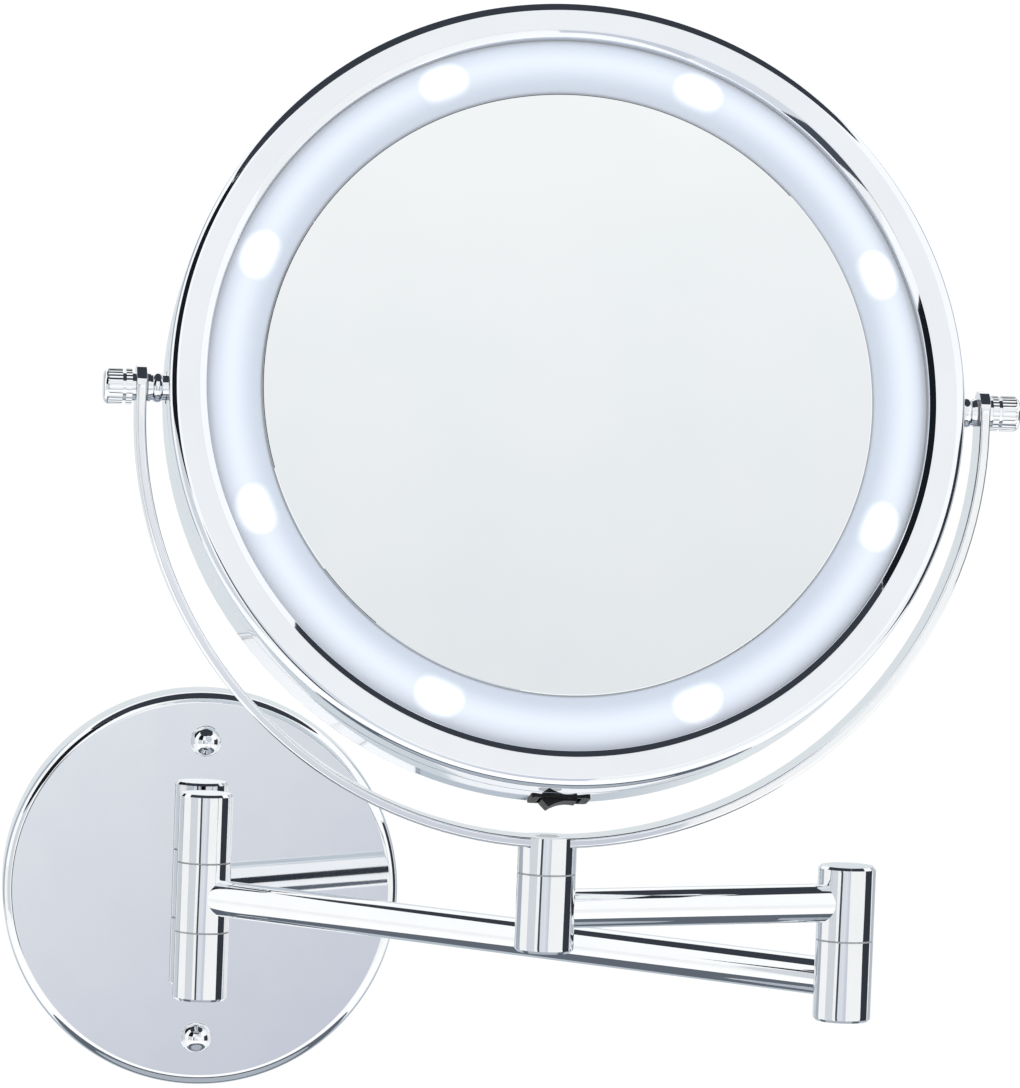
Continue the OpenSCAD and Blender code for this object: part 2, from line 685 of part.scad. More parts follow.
module switch_housing() color(black_plastic) at_switch() difference() {
    union() {
        linear_extrude(frame_t) rounded_rect(switch_l, switch_w, 1.2);
        translate([-switch_body_l / 2, -switch_body_w / 2, -switch_depth])
            cube([switch_body_l, switch_body_w, switch_depth]);
    }
    translate([-rocker_half - loose_gap, -rocker_w / 2 - loose_gap, rocker_pivot - rocker_half - loose_gap])
        cube([2 * (rocker_half + loose_gap), rocker_w + 2 * loose_gap, rocker_half + frame_t + over + 3]);
    translate([0, 0, rocker_pivot]) rotate([90, 0, 0])
        cylinder(r = rocker_axle_r + run_gap, h = rocker_w + 1.4, center = true);
}

module switch_terminals() color("goldenrod") at_switch() for (x = [-3, 3])
    translate([x - 0.4, -1.5, -switch_depth - 5]) cube([0.8, 3, 5]);

module switch_rocker() color(black_plastic) at_switch() translate([0, 0, rocker_pivot])
    rotate([0, rocker_tilt, 0]) {
    rotate([90, 0, 0]) linear_extrude(rocker_w, center = true) difference() {
        top = rocker_top - rocker_pivot;
        polygon([[-rocker_top_half, top], [rocker_top_half, top], [rocker_half, 0.5],
                 [rocker_half / 2, -rocker_foot], [-rocker_half / 2, -rocker_foot], [-rocker_half, 0.5]]);
        translate([0, top + 8]) circle(r = 8.7);
    }
    rotate([90, 0, 0]) cylinder(r = rocker_axle_r, h = rocker_w + 1, center = true);
}

// ---- leads, along hand-chosen points in the head ----
lead_hole_black = [-led_r * cos(20), -led_r * sin(20)];
lead_hole_switch = [-led_r * sin(12), -led_r * cos(12)];
lead_z = -6;
lead_level = 0;
terminal_y = -(head_r - spot_face - switch_depth - 5 - lead_r);
box_x = bay_w / 2 + box_wall + lead_r;

module lead_red() color("red") on_head()
    lead([[box_x, -10, lead_z], [box_x + 4, -45, lead_z], [3, terminal_y + 8, lead_z],
        [3, terminal_y, switch_z]]);

module lead_black() color(black_plastic) on_head()
    lead([[-box_x, -8, lead_z], [lead_hole_black.x + 12, lead_hole_black.y, lead_z],
          [lead_hole_black.x, lead_hole_black.y, lead_level],
              [lead_hole_black.x, lead_hole_black.y, tray_top - 0.1]]);

module lead_switch() color("red") on_head()
    lead([[-3, terminal_y, switch_z], [lead_hole_switch.x, lead_hole_switch.y, lead_level - 2],
          [lead_hole_switch.x, lead_hole_switch.y, tray_top - 0.1]]);

module case_screws() color(steel) on_head() case_positions() translate([0, 0, rear_z + case_screw_pocket]) {
    translate([0, 0, -case_screw_head_h]) cylinder(r = case_screw_head_r, h = case_screw_head_h);
    cylinder(r = screw_r, h = case_boss_z - rear_z - case_screw_pocket + 4.5);
}

// ---- pivots and knobs ----
module pivot_studs() color(steel) on_head() for (side = [-1, 1]) along_pivot(side) {
    translate([0, 0, stud_boss_x - stud_head_h]) cylinder(r = stud_head_r, h = stud_head_h);
    translate([0, 0, stud_boss_x - over])
        cylinder(r = stud_r, h = strap_out_x + stud_end - stud_boss_x + over);
}

module pivot_spacers() color(chrome) on_head() for (side = [-1, 1]) along_pivot(side)
    translate([0, 0, pivot_x]) rotate_extrude() difference() {
        l = spacer_end - pivot_x;
        bulge = min(1.7, l / 2 - 0.7);
        union() {
            square([spacer_d / 2 - 0.5, l]);
            translate([0, l - 0.65]) square([spacer_d / 2 - 0.2, 0.65]);
            translate([spacer_d / 2 - bulge, l / 2]) circle(r = bulge);
        }
        translate([0, -over]) square([stud_r + press_gap, l + 2 * over]);
    }

module pivot_washers() color(nylon) on_head() for (side = [-1, 1]) along_pivot(side)
    translate([0, 0, spacer_end]) ring(spacer_d / 2 - 0.4, stud_r + press_gap, washer_t);

// knurled knob with its flange at z = 0
module knob() difference() {
    rotate_extrude() {
        square([knob_d / 2 - 0.9, knob_l - 1]);
        translate([0, 0.9]) square([knob_d / 2 - 0.05, 1.5]);
        translate([0, 3.4]) square([knob_d / 2, knob_l - 3.4 - 1.4]);
        // domed outer end
        difference() {
            translate([0, knob_l - 1.4]) square([knob_d / 2, 1.4]);
            translate([knob_d / 2 - 1.4, knob_l - 1.4]) difference() {
                square(1.4 + over);
                circle(r = 1.4);
            }
        }
    }
    // knurl of straight V grooves
    for (i = [0 : 23]) rotate([0, 0, i * 15]) translate([knob_d / 2 + 0.1, 0, 0.8]) rotate([0, 0, 45])
        translate([-0.35, -0.35, 0]) cube([0.7, 0.7, knob_l - 2.4]);
    translate([0, 0, -over]) cylinder(r = stud_r + run_gap, h = stud_end + 0.5 + over);
}

module knob_left() color(chrome) on_head() along_pivot(-1) translate([0, 0, strap_out_x + face_gap]) knob();
module knob_right() color(chrome) on_head() along_pivot(1) translate([0, 0, strap_out_x + face_gap]) knob();

wall_bracket();
bracket_studs();
wall_plate();
cap_nuts();
plate_stiffener();
post_screws();
wall_knuckle_upper();
wall_knuckle_lower();
wall_pin();
wall_nut();
wall_barrel_caps();
wall_washers();
lower_arm_knuckle();
lower_arm_tube();
elbow_knuckle_lower();
elbow_pin();
elbow_nut();
elbow_cap_lower();
elbow_washer();
elbow_knuckle_upper();
upper_arm_tube();
swivel_knuckle();
elbow_cap_upper();
swivel_cap();
swivel_washer();
yoke_holder();
swivel_pin();
swivel_nut();
yoke_screw();
yoke_strap();
head_bezel();
rear_shell();
mirror_glass();
glass_pad();
light_diffuser();
reflector_tray();
led_board();
led_chips();
battery_box();
batteries();
battery_contacts();
battery_springs();
battery_door();
switch_housing();
switch_terminals();
switch_rocker();
lead_red();
lead_black();
lead_switch();
case_screws();
pivot_studs();
pivot_spacers();
pivot_washers();
knob_left();
knob_right();
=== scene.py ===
import json
import math

import bmesh
import bpy
from mathutils import Matrix, Vector


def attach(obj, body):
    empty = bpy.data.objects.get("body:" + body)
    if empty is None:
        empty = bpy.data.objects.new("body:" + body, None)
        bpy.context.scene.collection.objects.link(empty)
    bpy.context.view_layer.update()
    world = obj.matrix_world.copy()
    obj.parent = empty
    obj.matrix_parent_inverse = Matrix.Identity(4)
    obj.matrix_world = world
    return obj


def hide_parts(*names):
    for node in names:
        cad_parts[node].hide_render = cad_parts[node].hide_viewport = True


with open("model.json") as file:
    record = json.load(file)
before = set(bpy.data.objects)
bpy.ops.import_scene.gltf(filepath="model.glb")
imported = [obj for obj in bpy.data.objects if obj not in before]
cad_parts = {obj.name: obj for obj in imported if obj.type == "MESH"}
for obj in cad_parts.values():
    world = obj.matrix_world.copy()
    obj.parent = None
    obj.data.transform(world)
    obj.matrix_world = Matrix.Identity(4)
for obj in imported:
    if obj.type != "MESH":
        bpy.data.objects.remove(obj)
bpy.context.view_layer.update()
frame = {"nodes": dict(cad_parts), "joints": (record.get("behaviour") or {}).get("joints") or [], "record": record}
mm = 0.001
joints = {joint["name"]: joint for joint in frame["joints"]}
scene = bpy.context.scene
scene.view_settings.view_transform = "Standard"
print("stage: frame loaded,", len(frame["nodes"]), "nodes")


# turns a piece drawn in millimetres into the frame, in metres
def placeAt(origin, across, outward):
    z = Vector(outward).normalized()
    x = Vector(across)
    x = (x - z * x.dot(z)).normalized()
    turn = Matrix((x, z.cross(x), z)).transposed().to_4x4()
    return Matrix.Translation(origin) @ turn @ Matrix.Diagonal((mm, mm, mm, 1))


up = Vector((0, 0, 1))
pivotLine = Vector(joints["head_tilt"]["axis"])
pivotMiddle = Vector(joints["head_tilt"]["pos_m"])
faceNormal = Vector(joints["switch_rock"]["axis"])
wallPlace = placeAt((0, 0, 0), (1, 0, 0), (0, -1, 0))
headPlace = placeAt(pivotMiddle, pivotLine, faceNormal)  # X along the pivots, Z out of the glass


def linear(text):  # an sRGB hex colour, made linear
    parts = [int(text[i:i + 2], 16) / 255 for i in (0, 2, 4)]
    return [c / 12.92 if c <= 0.04045 else ((c + 0.055) / 1.055) ** 2.4 for c in parts] + [1]


def addNode(tree, kind, settings=None, **links):
    node = tree.nodes.new("ShaderNode" + kind)
    for name, value in (settings or {}).items():
        if name in node.inputs:
            node.inputs[name].default_value = value
        else:
            setattr(node, name, value)
    for name, source in links.items():
        key = int(name[2:]) if name[:2] == "in" and name[2:].isdigit() else name.replace("_", " ")
        tree.links.new(source, node.inputs[key])
    return node


def perMm(size):  # scale of a pattern whose features are this many millimetres
    return 1 / (size * mm)


def newMaterial(name, base, **settings):
    material = bpy.data.materials.new(name)
    material.use_nodes = True
    tree = material.node_tree
    shader = tree.nodes["Principled BSDF"]
    shader.inputs["Base Color"].default_value = linear(base)
    for key, value in settings.items():
        shader.inputs[key.replace("_", " ")].default_value = value
    return material, tree, shader


def addSurface(tree, shader, size, rough, bump, detail=3):
    coords = addNode(tree, "TexCoord")
    noise = addNode(tree, "TexNoise", {"Scale": perMm(size), "Detail": detail},
                    Vector=coords.outputs["Object"])
    spread = addNode(tree, "MapRange", {"To Min": rough[0], "To Max": rough[1]}, Value=noise.outputs["Fac"])
    tree.links.new(spread.outputs["Result"], shader.inputs["Roughness"])
    if bump:
        lift = addNode(tree, "Bump", {"Strength": 1.0, "Distance": bump * mm}, Height=noise.outputs["Fac"])
        tree.links.new(lift.outputs["Normal"], shader.inputs["Normal"])
    return noise


shadeStops = (0.3, 0.7)  # where the noise turns from the low shade to the high one


def addShades(tree, shader, source, low, high):
    blend = addNode(tree, "ValToRGB", None, Fac=source)
    blend.color_ramp.elements[0].color = linear(low)
    blend.color_ramp.elements[1].color = linear(high)
    blend.color_ramp.elements[0].position, blend.color_ramp.elements[1].position = shadeStops
    tree.links.new(blend.outputs["Color"], shader.inputs["Base Color"])


# bright chrome plate on polished brass: a mirror, with only a faint haze left by the buffing wheel
chromeLooks = {"base": "EEF0F3", "shades": ("EDEFF2", "F0F2F4"), "haze": (0.02, 0.045), "swirlMm": 12.0,
               "waveMm": 0.0003}

# chrome plate on moulded ABS: as bright, a shade bluer, with the slow waviness of the moulding
chromedAbsLooks = {"base": "ECEFF4", "shades": ("EBEEF2", "EEF1F5"), "haze": (0.025, 0.045), "swirlMm": 22.0,
                   "waveMm": 0.0005, "detail": 2}

# silvered float glass: the cleanest mirror on the piece, almost without haze
mirrorLooks = {"base": "F3F6F7", "shades": ("F1F5F6", "F5F7F8"), "haze": (0.0, 0.012), "swirlMm": 30.0,
               "waveMm": 0}


def makePolished(name, looks):
    material, tree, shader = newMaterial(name, looks["base"], Metallic=1.0)
    noise = addSurface(tree, shader, looks["swirlMm"], looks["haze"], looks["waveMm"], looks.get("detail", 3))
    addShades(tree, shader, noise.outputs["Fac"], *looks["shades"])
    return material


glowLooks = {"middle": 84.1, "crest": 85.4, "half": 6.9, "chips": 8, "spotMm": 7.0, "body": "8F9AAB",
             "tint": "F0F1F2", "edge": 0.31, "glow": 0.21, "spot": 1.5, "reach": 0.95, "frostMm": 0.8,
             "haze": (0.42, 0.55), "frostDepthMm": 0.004}


# sand-frosted acrylic over the lamps: soft white in the middle, cool blue where it thins at both edges
def makeFrostedAcrylic():
    material, tree, shader = newMaterial("frostedAcrylic", glowLooks["body"],
                                         Emission_Color=linear(glowLooks["tint"]))
    addSurface(tree, shader, glowLooks["frostMm"], glowLooks["haze"], glowLooks["frostDepthMm"])
    back = headPlace.to_3x3().normalized().transposed()
    coords = addNode(tree, "TexCoord")
    onHead = addNode(tree, "Mapping", {"Location": -(back @ pivotMiddle), "Rotation": back.to_euler()},
                     Vector=coords.outputs["Object"])
    parts = addNode(tree, "SeparateXYZ", None, Vector=onHead.outputs["Vector"])
    flat = addNode(tree, "CombineXYZ", None, X=parts.outputs["X"], Y=parts.outputs["Y"])
    reach = addNode(tree, "VectorMath", {"operation": "LENGTH"}, in0=flat.outputs["Vector"])
    half = glowLooks["half"] * mm
    middle = glowLooks["middle"] * mm
    offCrest = addNode(tree, "Math", {"operation": "SUBTRACT"}, in0=reach.outputs["Value"])
    offCrest.inputs[1].default_value = glowLooks["crest"] * mm
    size = addNode(tree, "Math", {"operation": "ABSOLUTE"}, in0=offCrest.outputs["Value"])
    glow = addNode(tree, "MapRange", {"From Min": glowLooks["reach"] * half, "From Max": 0.0,
                                      "interpolation_type": "SMOOTHSTEP"}, Value=size.outputs["Value"])
    angle = addNode(tree, "Math", {"operation": "ARCTAN2"}, in0=parts.outputs["Y"], in1=parts.outputs["X"])
    turns = addNode(tree, "Math", {"operation": "MULTIPLY"}, in0=angle.outputs["Value"])
    turns.inputs[1].default_value = glowLooks["chips"]
    wave = addNode(tree, "Math", {"operation": "COSINE"}, in0=turns.outputs["Value"])
    along = addNode(tree, "Math", {"operation": "MULTIPLY_ADD"}, in0=wave.outputs["Value"])
    along.inputs[1].default_value = along.inputs[2].default_value = 2 * (middle / glowLooks["chips"]) ** 2
    offMiddle = addNode(tree, "Math", {"operation": "SUBTRACT"}, in0=reach.outputs["Value"])
    offMiddle.inputs[1].default_value = middle
    outward = addNode(tree, "Math", {"operation": "MULTIPLY"}, in0=offMiddle.outputs["Value"],
                      in1=offMiddle.outputs["Value"])
    fromChip = addNode(tree, "Math", {"operation": "ADD"}, in0=along.outputs["Value"],
                       in1=outward.outputs["Value"])  # the squared distance to the nearest light chip
    spot = addNode(tree, "MapRange", {"From Min": (glowLooks["spotMm"] * mm) ** 2, "From Max": 0.0,
                                      "interpolation_type": "SMOOTHSTEP"}, Value=fromChip.outputs["Value"])
    gain = addNode(tree, "MapRange", {"To Min": glowLooks["glow"], "To Max": glowLooks["spot"]},
                   Value=spot.outputs["Result"])
    total = addNode(tree, "Math", {"operation": "MULTIPLY_ADD"}, in0=glow.outputs["Result"],
                    in1=gain.outputs["Result"])
    total.inputs[2].default_value = glowLooks["edge"]
    tree.links.new(total.outputs["Value"], shader.inputs["Emission Strength"])
    return material


# moulded plastics, metals and cells: each has its own grain size, roughness and two close shades
plainFinishes = {
    "mouldedBlackAbs": {"shades": ("0B0C0E", "131518"), "grain": 0.6, "rough": (0.4, 0.52), "bump": 0.006,
                        "shine": 0.22},
    "mouldedWhiteAbs": {"shades": ("E6E7E6", "F1F1EF"), "grain": 1.5, "rough": (0.35, 0.45), "bump": 0.006},
    "naturalNylon": {"shades": ("8E9296", "A3A7AA"), "grain": 1.0, "rough": (0.45, 0.6), "bump": 0.008},
    "zincPlatedSteel": {"shades": ("B0B4B9", "BEC2C7"), "grain": 2.5, "rough": (0.26, 0.36), "bump": 0.002,
                        "metal": 1},
    "whiteSolderMask": {"shades": ("DDE3DA", "E9EDE6"), "grain": 0.9, "rough": (0.3, 0.42), "bump": 0.004},
    "chipPhosphor": {"shades": ("F0DC7A", "F8EBA8"), "grain": 0.5, "rough": (0.3, 0.5), "bump": 0.004},
    "shrinkSleeve": {"shades": ("1C3470", "2A478C"), "grain": 5.0, "rough": (0.22, 0.34), "bump": 0.01},
    "plainBrass": {"shades": ("B8923F", "CDA955"), "grain": 1.2, "rough": (0.2, 0.34), "bump": 0.004,
                   "metal": 1},
    "redLeadSleeve": {"shades": ("96161A", "B02226"), "grain": 0.8, "rough": (0.4, 0.52), "bump": 0.006},
    "blackLeadSleeve": {"shades": ("101113", "1C1D20"), "grain": 0.8, "rough": (0.4, 0.52), "bump": 0.006},
}


def makePlain(name, looks):
    material, tree, shader = newMaterial(name, looks["shades"][1], Metallic=float(looks.get("metal", 0)),
                                         Specular_IOR_Level=looks.get("shine", 0.5))
    noise = addSurface(tree, shader, looks["grain"], looks["rough"], looks["bump"])
    addShades(tree, shader, noise.outputs["Fac"], *looks["shades"])
    return material


chrome = makePolished("brightChromePlate", chromeLooks)
chromedAbs = makePolished("chromePlatedAbs", chromedAbsLooks)
mirror = makePolished("silveredFloatGlass", mirrorLooks)
acrylic = makeFrostedAcrylic()
plain = {name: makePlain(name, looks) for name, looks in plainFinishes.items()}
print("stage: polished finishes, frosted acrylic and", len(plain), "plain finishes made")


seamGap = 1e-4  # millimetres between points that are welded where a spin closes
ringSlack = 0.01  # millimetres by which a point may miss its ring


# a profile is points (r, z) in millimetres; (r, z, turn, steps) swings the last point about (r, z)
def drawProfile(shape, steps, closed):
    first = last = None
    for step in steps:
        if len(step) == 2:
            vert = shape.verts.new((step[0], 0, step[1]))
            if last:
                shape.edges.new((last, vert))
            last = vert
        else:
            made = bmesh.ops.spin(shape, geom=[last], cent=(step[0], 0, step[1]), axis=(0, 1, 0),
                                  angle=math.radians(step[2]), steps=step[3])
            last = [part for part in made["geom_last"] if isinstance(part, bmesh.types.BMVert)][0]
        first = first or last
    if closed:
        shape.edges.new((last, first))


def turned(steps, around, rounds=(), closed=True):
    shape = bmesh.new()
    drawProfile(shape, steps, closed)
    bmesh.ops.spin(shape, geom=shape.verts[:] + shape.edges[:], cent=(0, 0, 0), axis=(0, 0, 1),
                   angle=math.tau, steps=around, use_merge=True)
    bmesh.ops.remove_doubles(shape, verts=shape.verts, dist=seamGap)
    bmesh.ops.recalc_face_normals(shape, faces=shape.faces)
    for r, z, size, segments in rounds:
        bevelEdges(shape, ringEdges(shape, r, z), size, segments)
    return shape


def ringEdges(shape, r, z):
    def onRing(vert):
        return abs(math.hypot(vert.co.x, vert.co.y) - r) < ringSlack and abs(vert.co.z - z) < ringSlack
    return [edge for edge in shape.edges if all(onRing(vert) for vert in edge.verts)]


def bevelEdges(shape, edges, size, segments):
    bmesh.ops.bevel(shape, geom=edges, offset=size, offset_type="OFFSET", segments=segments, profile=0.5,
                    affect="EDGES", material=-1, clamp_overlap=True)


def finishPiece(shape, name, place, body, material, nodes, sharp=30):
    bmesh.ops.transform(shape, matrix=place, verts=shape.verts)
    for face in shape.faces:
        face.smooth = True
    for edge in shape.edges:
        edge.smooth = len(edge.link_faces) == 2 and edge.calc_face_angle() < math.radians(sharp)
    mesh = bpy.data.meshes.new(name)
    shape.to_mesh(mesh)
    shape.free()
    mesh.materials.append(material)
    piece = bpy.data.objects.new(name, mesh)
    scene.collection.objects.link(piece)
    even = piece.modifiers.new("evenNormals", "WEIGHTED_NORMAL")
    even.keep_sharp = True
    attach(piece, body)
    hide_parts(*nodes)
    return piece


def joinShapes(shapes):
    whole = bmesh.new()
    for shape in shapes:
        mesh = bpy.data.meshes.new("part")
        shape.to_mesh(mesh)
        shape.free()
        whole.from_mesh(mesh)
        bpy.data.meshes.remove(mesh)
    return whole


welding = {"gap": 2e-6, "sliver": 1e-6, "flat": 0.3, "corner": 60, "segments": 3}  # metres and degrees


def weldedCopy(node):
    shape = bmesh.new()
    shape.from_mesh(frame["nodes"][node].data)
    bmesh.ops.remove_doubles(shape, verts=shape.verts, dist=welding["gap"])
    bmesh.ops.dissolve_degenerate(shape, edges=shape.edges, dist=welding["sliver"])
    return shape


def softenEdges(shape, size):
    bmesh.ops.dissolve_limit(shape, angle_limit=math.radians(welding["flat"]), verts=shape.verts,
                             edges=shape.edges)
    corners = [edge for edge in shape.edges if len(edge.link_faces) == 2 and
               edge.calc_face_angle() > math.radians(welding["corner"])]
    bevelEdges(shape, corners, size, welding["segments"])


still = Matrix.Identity(4)
bodyOf = {node: body for body, nodes in frame["record"]["behaviour"]["bodies"].items() for node in nodes}

wallPlate = {"radius": 55, "depth": 17.4, "sheet": 1.2, "edge": 3, "foot": 0.3, "around": 256}


def makeWallPlate():
    radius, depth, sheet, edge = (wallPlate[key] for key in ("radius", "depth", "sheet", "edge"))
    inner, back = radius - sheet, depth - sheet
    shape = turned([(0, depth), (radius, depth), (radius, 0), (inner, 0), (inner, back), (0, back)],
                   wallPlate["around"],
                   [(radius, depth, edge, 8), (inner, back, edge - sheet, 4),
                    (radius, 0, wallPlate["foot"], 2)], closed=False)
    finishPiece(shape, "wall_plate_shell", wallPlace, "wall_mount", chrome, ["wall_plate"])


capNut = {"gap": 83, "radius": 3.9, "flange": 0.8, "flangeRadius": 4.3, "neck": 0.6, "edge": 0.3,
          "around": 64}


def makeCapNuts():
    r, flange, wide, neck = (capNut[key] for key in ("radius", "flange", "flangeRadius", "neck"))
    domes = []
    for side in (-1, 1):
        dome = turned([(0, 0), (wide, 0), (wide, flange), (r, flange), (r, flange + neck),
                       (0, flange + neck, -90, 12)], capNut["around"], [(wide, flange, capNut["edge"], 3)],
                      closed=False)
        bmesh.ops.translate(dome, vec=(0, side * capNut["gap"] / 2, wallPlate["depth"]), verts=dome.verts)
        domes.append(dome)
    finishPiece(joinShapes(domes), "dome_nuts", wallPlace, "wall_mount", chrome, ["cap_nuts"])


bezel = {"radius": 100.5, "seam": 2.8, "front": 12.4, "crease": 98.7, "creaseZ": 12.0, "shoulder": 1.2,
         "inner": 92.9, "lip": 91.1, "chamferZ": 11.45, "lipZ": 8.6, "wall": 1.8, "slack": 0.3,
         "shoulderRound": 1.0, "creaseRound": 0.7, "innerRound": 0.2, "lipRound": 0.3, "around": 320,
         "sharp": 40}


def makeBezel():
    b = bezel
    shoulderZ = b["creaseZ"] - b["shoulder"]
    channelR, channelZ = b["radius"] - b["wall"], b["front"] - b["wall"] - b["slack"]
    shape = turned([(b["radius"], b["seam"]), (b["radius"], shoulderZ), (b["crease"], b["creaseZ"]),
                    (b["inner"], b["front"]), (b["lip"], b["chamferZ"]), (b["lip"], b["lipZ"]),
                    (b["inner"] + b["wall"], b["lipZ"]), (b["inner"] + b["wall"], channelZ),
                    (channelR, channelZ), (channelR, b["seam"])], b["around"],
                   [(b["radius"], shoulderZ, b["shoulderRound"], 5),
                    (b["crease"], b["creaseZ"], b["creaseRound"], 4),
                    (b["inner"], b["front"], b["innerRound"], 2), (b["lip"], b["chamferZ"], b["lipRound"], 3),
                    (b["radius"], b["seam"], b["lipRound"], 3)])
    finishPiece(shape, "bezel_ring", headPlace, "mirror_head", chromedAbs, ["head_bezel"],
                b["sharp"])


glass = {"radius": 77, "back": 6.4, "front": 9.4, "chamfer": 0.25, "around": 256, "sharp": 12}


def makeGlass():
    radius, back, front = glass["radius"], glass["back"], glass["front"]
    shape = turned([(0, back), (radius, back), (radius, front), (0, front)], glass["around"],
                   [(radius, front, glass["chamfer"], 2)], closed=False)
    finishPiece(shape, "mirror_pane", headPlace, "mirror_head", mirror, ["mirror_glass"],
                glass["sharp"])


lightRing = {"inner": 77.2, "outer": 91.0, "edgeZ": 8.6, "crown": 2.8, "wall": 2.0, "foot": 4.8, "skirt": 1.6,
             "around": 256, "sharp": 50}


def makeLightRing():
    ring = lightRing
    half = (ring["outer"] - ring["inner"]) / 2
    bow = (half ** 2 + ring["crown"] ** 2) / (2 * ring["crown"])
    middle = (ring["outer"] + ring["inner"]) / 2
    centreZ = ring["edgeZ"] + ring["crown"] - bow
    swing = 2 * math.degrees(math.asin(half / bow))
    shape = turned([(ring["inner"], ring["foot"]), (ring["inner"], ring["edgeZ"]),
                    (middle, centreZ, swing, 24), (ring["outer"], ring["edgeZ"] - ring["skirt"])],
                   ring["around"], closed=False)
    upper = max(shape.faces, key=lambda face: face.calc_center_median().z)
    if upper.normal.z < 0:
        bmesh.ops.reverse_faces(shape, faces=shape.faces)
    bmesh.ops.solidify(shape, geom=shape.faces[:], thickness=ring["wall"])
    finishPiece(shape, "frosted_light_ring", headPlace, "mirror_head", acrylic,
                ["light_diffuser"], ring["sharp"])


knob = {"radius": 4.45, "length": 8.0, "ridges": 28, "ridgeDepth": 0.26, "core": 3.6, "collar": (0.9, 2.4),
        "grip": 3.3, "crown": 1.4, "bore": (2.05, 5.5)}
stepsPerRidge = 4  # the third of every four points round the knob lies in a valley


# a turned knob, z outwards from the strap: smooth neck, thin knurled collar, knurled grip, domed end
def makeKnob(node, name, side):
    reach = [(vert.co - pivotMiddle).dot(pivotLine) * side for vert in frame["nodes"][node].data.vertices]
    place = placeAt(pivotMiddle + pivotLine * side * min(reach), faceNormal, pivotLine * side)
    r, core, crown, top = knob["radius"], knob["core"], knob["crown"], knob["length"]
    bore, deep = knob["bore"]
    collarFoot, collarTop = knob["collar"]
    around = knob["ridges"] * stepsPerRidge
    shape = turned([(0, deep), (bore, deep), (bore, 0), (core, 0), (core, collarFoot), (r, collarFoot),
                    (r, collarTop), (core, collarTop), (core, knob["grip"]), (r, knob["grip"]),
                    (r, top - crown), (r - crown, top - crown, -90, 6), (0, top)], around, closed=False)
    valleys = [vert for vert in shape.verts if math.hypot(vert.co.x, vert.co.y) > r - ringSlack and
               round(math.atan2(vert.co.y, vert.co.x) / math.tau * around) % stepsPerRidge == 2]
    inward = 1 - knob["ridgeDepth"] / r
    bmesh.ops.scale(shape, vec=(inward, inward, 1), verts=valleys)
    finishPiece(shape, name, place, bodyOf[node], chrome, [node])


makeWallPlate()
makeCapNuts()
makeKnob("knob_left", "left_knurled_knob", -1)
makeKnob("knob_right", "right_knurled_knob", 1)
makeBezel()
makeGlass()
makeLightRing()
print("stage: plate, nuts, knobs, bezel, glass and light ring modelled")

# each node's own shape, welded and shaded as one smooth skin, under the slot of its finish
copies = {
    "chrome": {
        "wall_knuckle_upper": "upper_wall_knuckle", "wall_knuckle_lower": "lower_wall_knuckle",
        "wall_barrel_caps": "wall_barrel_end_caps", "lower_arm_knuckle": "arm_middle_knuckle",
        "lower_arm_tube": "long_arm_tube", "elbow_knuckle_lower": "elbow_bottom_knuckle",
        "elbow_knuckle_upper": "elbow_top_knuckle", "upper_arm_tube": "short_arm_tube",
        "swivel_knuckle": "swivel_barrel", "elbow_cap_lower": "elbow_bottom_cap",
        "elbow_cap_upper": "elbow_top_cap", "swivel_cap": "swivel_bottom_cap", "yoke_holder": "strap_holder",
        "yoke_strap": "yoke_band", "pivot_spacers": "turned_spacers",
    },
    "chromed_plastic": {"rear_shell": "drum_back_shell", "battery_door": "battery_cover_plate"},
    "black_plastic": {"switch_rocker": "rocker_paddle", "switch_housing": "switch_frame"},
}
slotFinish = {"chrome": chrome, "chromed_plastic": chromedAbs, "black_plastic": plain["mouldedBlackAbs"]}
softened = {"yoke_strap": 0.28, "battery_door": 0.15}  # tumbled edges, in millimetres
for slot, names in copies.items():
    for node, name in names.items():
        shape = weldedCopy(node)
        if node in softened:
            softenEdges(shape, softened[node] * mm)
        finishPiece(shape, name, still, bodyOf[node], slotFinish[slot], [node])
print("stage: finished copies,", sum(len(names) for names in copies.values()))

# the nodes that stay as they are, by what they are made of
nodeFinish = {
    "zincPlatedSteel": ["wall_bracket", "bracket_studs", "plate_stiffener", "post_screws", "wall_pin",
                        "wall_nut", "elbow_pin", "elbow_nut", "swivel_pin", "swivel_nut", "yoke_screw",
                        "pivot_studs", "case_screws", "battery_contacts", "battery_springs"],
    "naturalNylon": ["wall_washers", "elbow_washer", "swivel_washer", "pivot_washers"],
    "mouldedBlackAbs": ["glass_pad", "battery_box"],
    "mouldedWhiteAbs": ["reflector_tray"],
    "whiteSolderMask": ["led_board"],
    "chipPhosphor": ["led_chips"],
    "shrinkSleeve": ["batteries"],
    "plainBrass": ["switch_terminals"],
    "redLeadSleeve": ["lead_red"],
    "blackLeadSleeve": ["lead_black", "lead_switch"],
}
for finish, nodes in nodeFinish.items():
    for node in nodes:
        for holder in frame["nodes"][node].material_slots:
            holder.material = plain[finish]
print("stage: carried nodes finished,", sum(len(nodes) for nodes in nodeFinish.values()))

studio = {"floor": -0.75, "floorSize": 60, "floorTone": "F4F4F3", "floorGrainMm": 4.0,
          "floorHaze": (0.6, 0.75), "floorBumpMm": 0.02, "sky": "FFFFFF", "skyPower": 1.12,
          "centre": (0.06, -0.15, 0.06)}


